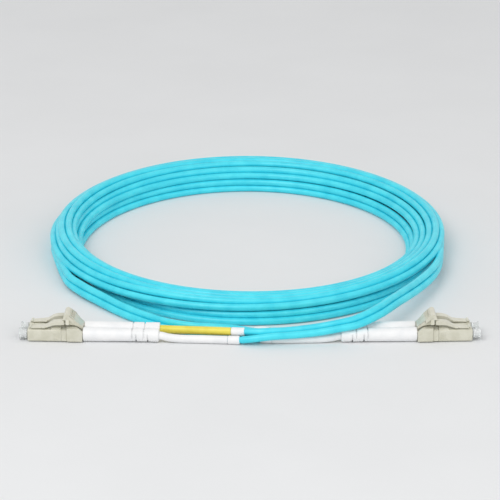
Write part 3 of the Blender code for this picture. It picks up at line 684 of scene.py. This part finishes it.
SPRING_FRONT, SPRING_REAR = 6.5, 10.8
SPRING_WIRE = 0.15  # radius of the wire
SPRING_RADIUS = 1.25
SPRING_TURNS = 4.5
SPRING_STEPS = 16  # in a turn


def ferrule_spring(side, place, middle):
    """The wound spring behind the holder, which is pressed to its rear end as the ferrule slides in."""
    bm = bmesh.new()
    start = (SPRING_FRONT + SPRING_WIRE, middle, AXIS_HEIGHT - SPRING_RADIUS)
    turn = Matrix.Translation(start) @ Matrix.Rotation(math.pi / 2, 4, "X")
    ring = bmesh.ops.create_circle(bm, segments=8, radius=SPRING_WIRE, matrix=turn)["verts"]
    steps = round(SPRING_TURNS * SPRING_STEPS)
    length = SPRING_REAR - SPRING_FRONT
    bmesh.ops.spin(
        bm, geom=ring + edges_of(ring), cent=(0, middle, AXIS_HEIGHT), axis=(1, 0, 0),
        dvec=((length - 2 * SPRING_WIRE) / steps, 0, 0), angle=2 * math.pi * SPRING_TURNS,
        steps=steps, use_merge=False,
    )
    bmesh.ops.holes_fill(bm, edges=bm.edges, sides=0)
    name = f"{side}_{place}_ferrule_spring"
    wound = finished(bm, f"{name}_wire", side, "cord", "nickel", sharp=60)
    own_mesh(wound)
    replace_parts(wound, name)


BLOCK_START, BLOCK_END = 12.9, 14.95
BLOCK_WIDTH = 4.36
# The hollow shaft, outside and back inside: (distance from the nose, radius).
SHAFT = (
    (10.99, 0.75), (10.99, 1.42), (13.2, 1.42), (13.2, 1.6),
    (18.0, 1.6), (18.0, 0.95), (24.2, 0.95), (24.2, 0.75),
)


def rear_body(side, place, middle):
    """The block behind the housing and the shaft that the clip, crimp and boot sit on."""
    bm = bmesh.new()
    half = BLOCK_WIDTH / 2
    add_box(bm, BLOCK_START, BLOCK_END, BLOCK_WIDTH, AXIS_HEIGHT - half, AXIS_HEIGHT + half, middle)
    add_turned(bm, SHAFT, 24, middle, closed=True)
    name = f"{side}_{place}_rear_body"
    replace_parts(finished(bm, f"{name}_moulding", side, "cord", "plug_plastic", 0.08), name)


CLIP_FRONT, CLIP_REAR = 15.0, 20.9
CLIP_BOTTOM, CLIP_TOP = 0.5, 5.6
CLIP_WIDTH = 11.5
CLIP_SLOPE = 1.4  # of the cheeks' rear corner
POCKET_WIDTH = 8.6
PANEL_BORDER, PANEL_DEPTH = 0.75, 0.14  # of the sunk panel in each side


def duplex_clip(side):
    """The block that joins the two plugs, with panelled sides and a sloped pocket for the trigger."""
    bm = bmesh.new()
    cheek = (CLIP_WIDTH - POCKET_WIDTH) / 2
    outline = (
        (CLIP_FRONT, CLIP_BOTTOM), (CLIP_REAR, CLIP_BOTTOM), (CLIP_REAR, CLIP_TOP - CLIP_SLOPE),
        (CLIP_REAR - CLIP_SLOPE, CLIP_TOP), (CLIP_FRONT, CLIP_TOP),
    )
    for sign in (-1, 1):
        add_prism(bm, outline, cheek, sign * (POCKET_WIDTH + cheek) / 2)
    bm.faces.ensure_lookup_table()
    outer = [
        face for face in bm.faces
        if abs(abs(face.calc_center_median().y) - CLIP_WIDTH / 2) < 1e-4
    ]
    for face in outer:
        bmesh.ops.inset_region(
            bm, faces=[face], thickness=PANEL_BORDER, depth=-PANEL_DEPTH, use_even_offset=True
        )
    pocket = (
        (CLIP_FRONT, CLIP_BOTTOM), (CLIP_REAR, CLIP_BOTTOM), (CLIP_REAR, 3.3),
        (CLIP_REAR - 2.3, CLIP_TOP), (CLIP_FRONT, CLIP_TOP),
    )
    add_prism(bm, pocket, POCKET_WIDTH)
    for sign in (-1, 1):
        across = sign * (CLIP_WIDTH / 2 - 0.2)
        add_box(bm, CLIP_FRONT - 0.02, CLIP_FRONT + 1.0, 0.5, 1.2, 4.4, across)
    name = f"{side}_clip"
    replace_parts(finished(bm, f"{name}_moulding", side, "cord", "plug_plastic", 0.16), name)


TRIGGER_WIDTH = 8.0
NECK_NARROWING = 0.38  # share of its width that the trigger's neck loses
SLOPE_END = (17.8, 8.65)  # where the head's ribbed slope ends and the neck starts
# Outlines of (distance from the nose, height): the head from the neck over its peak, the neck, and
# the wall under each side. The gusset in front of a wall is of (distance from the middle, height).
HEAD = (
    SLOPE_END, (16.0, 10.3), (15.6, 10.62), (15.2, 10.82), (14.75, 10.88), (14.3, 10.75),
    (13.98, 10.4), (13.8, 9.95), (13.5, 9.1), (13.42, 8.55), (14.3, 8.5), (14.55, 8.9), (14.8, 9.15),
    (15.2, 9.2), (17.8, 6.92),
)
NECK = ((20.9, 4.4), (20.9, 5.1), (20.75, 5.6), SLOPE_END, (17.8, 6.92), (20.5, 4.55))
WEB = ((14.9, 6.75), (19.2, 6.0), (19.4, 6.2), (15.2, 9.8), (14.9, 9.5))
GUSSET = ((3.2, 9.1), (3.75, 9.1), (4.75, 6.9), (3.2, 6.9))
RIBS = 4
RIB_SPACING = 0.72


def trigger(side):
    """The bent plate over both latches, with a neck at its rear, grip ribs near its rounded peak, and a
    wall and a gusset under each side."""
    bm = bmesh.new()
    add_prism(bm, HEAD, TRIGGER_WIDTH)
    before = set(bm.verts)
    add_prism(bm, NECK, TRIGGER_WIDTH)
    for vert in set(bm.verts) - before:
        vert.co.y *= 1 - NECK_NARROWING * (vert.co.x - SLOPE_END[0]) / (NECK[0][0] - SLOPE_END[0])
    for sign in (-1, 1):
        add_prism(bm, WEB, 0.6, sign * 3.25)
        add_pushed(bm, [(14.6, sign * across, height) for across, height in GUSSET], (1.3, 0, 0))
    slope = Vector((1.8, 0, -1.65)).normalized()
    out = Vector((-slope.z, 0, slope.x))
    for number in range(RIBS):
        middle = Vector((16.0, 0, 10.3)) + slope * (0.1 + number * RIB_SPACING)
        corners = (
            middle - slope * 0.2 - out * 0.1, middle + slope * 0.2 - out * 0.1,
            middle + slope * 0.1 + out * 0.3, middle - slope * 0.1 + out * 0.3,
        )
        add_prism(bm, [(corner.x, corner.z) for corner in corners], 7.2)
    name = f"{side}_trigger"
    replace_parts(finished(bm, f"{name}_plate", side, name, "plug_plastic", 0.1), name)


GROOVES = ((39.5, 1), (41.0, -1), (43.9, 1), (45.4, -1))  # from the nose, and up or down
GROOVE_WIDTH = 0.5
GROOVE_DEPTH = 0.6


GROOVE_SLANT = 0.05
BOOT_RADIUS = 2.5  # at the grooves


def boot(side, place, middle):
    """A long tapered boot whose rear has grooves from above and from below by turns."""
    front, rear = BOOT_START - 0.15, BOOT_END + 0.35
    profile = [
        (front, 1.5), (front, 2.35), (front + 0.12, 2.6), (front + 0.4, 2.7), (26.0, 2.68), (34.0, 2.56),
    ]
    for start, _ in GROOVES:
        end, floor = start + GROOVE_WIDTH, BOOT_RADIUS - GROOVE_DEPTH
        profile += [
            (start - GROOVE_SLANT, BOOT_RADIUS), (start + GROOVE_SLANT, floor),
            (end - GROOVE_SLANT, floor), (end + GROOVE_SLANT, BOOT_RADIUS),
        ]
    profile += [
        (46.6, 2.47), (46.8, 2.53), (rear - 0.35, 2.52), (rear - 0.1, 2.44), (rear, 2.25),
        (rear, 1.35), (30.0, 1.35), (30.0, 1.5),
    ]
    bm = bmesh.new()
    add_turned(bm, profile, 48, middle, closed=True)
    # The floor of a groove comes back out to the surface on the side that the groove doesn't reach.
    for vert in bm.verts:
        away = Vector((0, vert.co.y - middle, vert.co.z - AXIS_HEIGHT))
        for start, level in GROOVES:
            if start < vert.co.x < start + GROOVE_WIDTH and away.length > 1.6:
                part = max(0.0, min(1.0, (away.z * level / away.length + 0.45) / 0.25))
                vert.co += away.normalized() * GROOVE_DEPTH * (1 - part)
    name = f"{side}_{place}_boot"
    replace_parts(finished(bm, f"{name}_moulding", side, "cord", "white_plastic", sharp=50), name)


# Half a section of a cup, from its closed front along the outside and back along the inside:
# (distance from the nose, radius).
CUP = (
    (-2.1, 0), (-2.1, 1.15), (-2.5, 1.45), (-2.9, 1.75), (-3.1, 1.98), (-3.2, 2.1), (-3.12, 2.18),
    (-2.95, 2.15), (-2.6, 1.9), (-2.2, 1.7), (-1.7, 1.6), (-1.2, 1.66), (-0.8, 1.82), (-0.55, 1.9),
    (-0.35, 1.9), (-0.3, 1.84), (-0.3, 1.34), (-0.2, 1.32), (2.75, 1.3), (2.8, 1.24), (2.8, 0.95),
    (-1.75, 0.95), (-1.8, 0.9), (-1.8, 0),
)


def dust_cap(side):
    """Two clear cups with flared rims over the ferrules, joined by a web."""
    bm = bmesh.new()
    for sign in (-1, 1):
        add_turned(bm, CUP, 40, sign * PITCH / 2)
    add_box(bm, -2.9, -1.5, PITCH - 3.1, AXIS_HEIGHT - 0.5, AXIS_HEIGHT + 0.5)
    name = f"{side}_dust_cap"
    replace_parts(finished(bm, f"{name}_cups", side, name, "cap_plastic", sharp=45), name)


cord_legs()
for end in ("left", "right"):
    duplex_clip(end)
    trigger(end)
    dust_cap(end)
    for position in ("front", "rear"):
        across = plug_side(end, position) * PITCH / 2
        plug_housing(end, position, across)
        latch(end, position, across)
        rear_body(end, position, across)
        ferrule_spring(end, position, across)
        boot(end, position, across)


# ---------------------------------------------------------------- floor, light and camera
def stage():
    """A plain pale floor."""
    bm = bmesh.new()
    bmesh.ops.create_grid(bm, x_segments=1, y_segments=1, size=4)
    mesh = bpy.data.meshes.new("floor")
    bm.to_mesh(mesh)
    bm.free()
    floor = bpy.data.objects.new("floor", mesh)
    bpy.context.collection.objects.link(floor)
    # Matt paper, a pale neutral that keeps the soft shadow.
    paper = finish_of("matt_paper_pale", "#EAEBEC", "#E8E9EA", 0.9, 2, 60, 0.01)
    mesh.materials.append(paper)


def light():
    """A soft key and fill from the front, and a world that is seen and reflected as white."""
    scene = bpy.context.scene
    world = bpy.data.worlds.new("studio")
    scene.world = world
    world.use_nodes = True
    tree = world.node_tree
    back = tree.nodes["Background"]
    path = add(tree, "LightPath")
    seen = path.outputs["Is Camera Ray"]
    for ray in ("Is Glossy Ray", "Is Transmission Ray"):
        seen = add(tree, "Math", {0: seen, 1: path.outputs[ray]}, operation="MAXIMUM").outputs[0]
    strength = add(tree, "MapRange", {"Value": seen, "To Min": 0.64, "To Max": 1.0})
    tree.links.new(strength.outputs["Result"], back.inputs["Strength"])
    back.inputs["Color"].default_value = (1, 1, 1, 1)
    for name, place, size, power in (
        ("key", (-0.45, -0.7, 0.95), 0.7, 5.5),
        ("fill", (0.7, -0.7, 0.6), 0.8, 2.1),
    ):
        lamp = bpy.data.lights.new(name, "AREA")
        lamp.size = size
        lamp.energy = power
        made = bpy.data.objects.new(name, lamp)
        made.location = place
        towards = Vector((0, 0.07, 0)) - Vector(place)
        made.rotation_euler = towards.to_track_quat("-Z", "Y").to_euler()
        bpy.context.collection.objects.link(made)
    scene.view_settings.view_transform = "Standard"


def camera():
    """A long lens from the front, a little above the coil."""
    aim, distance, elevation = Vector((0, 0.09, 0)), 1.1, math.radians(20.9)
    lens = bpy.data.cameras.new("camera")
    lens.lens = 192.1
    lens.sensor_width = 36
    lens.shift_y = 0.0068
    lens.clip_end = 20
    made = bpy.data.objects.new("camera", lens)
    made.location = aim + distance * Vector((0, -math.cos(elevation), math.sin(elevation)))
    made.rotation_euler = (math.pi / 2 - elevation, 0, 0)
    bpy.context.collection.objects.link(made)
    bpy.context.scene.camera = made


stage()
light()
camera()
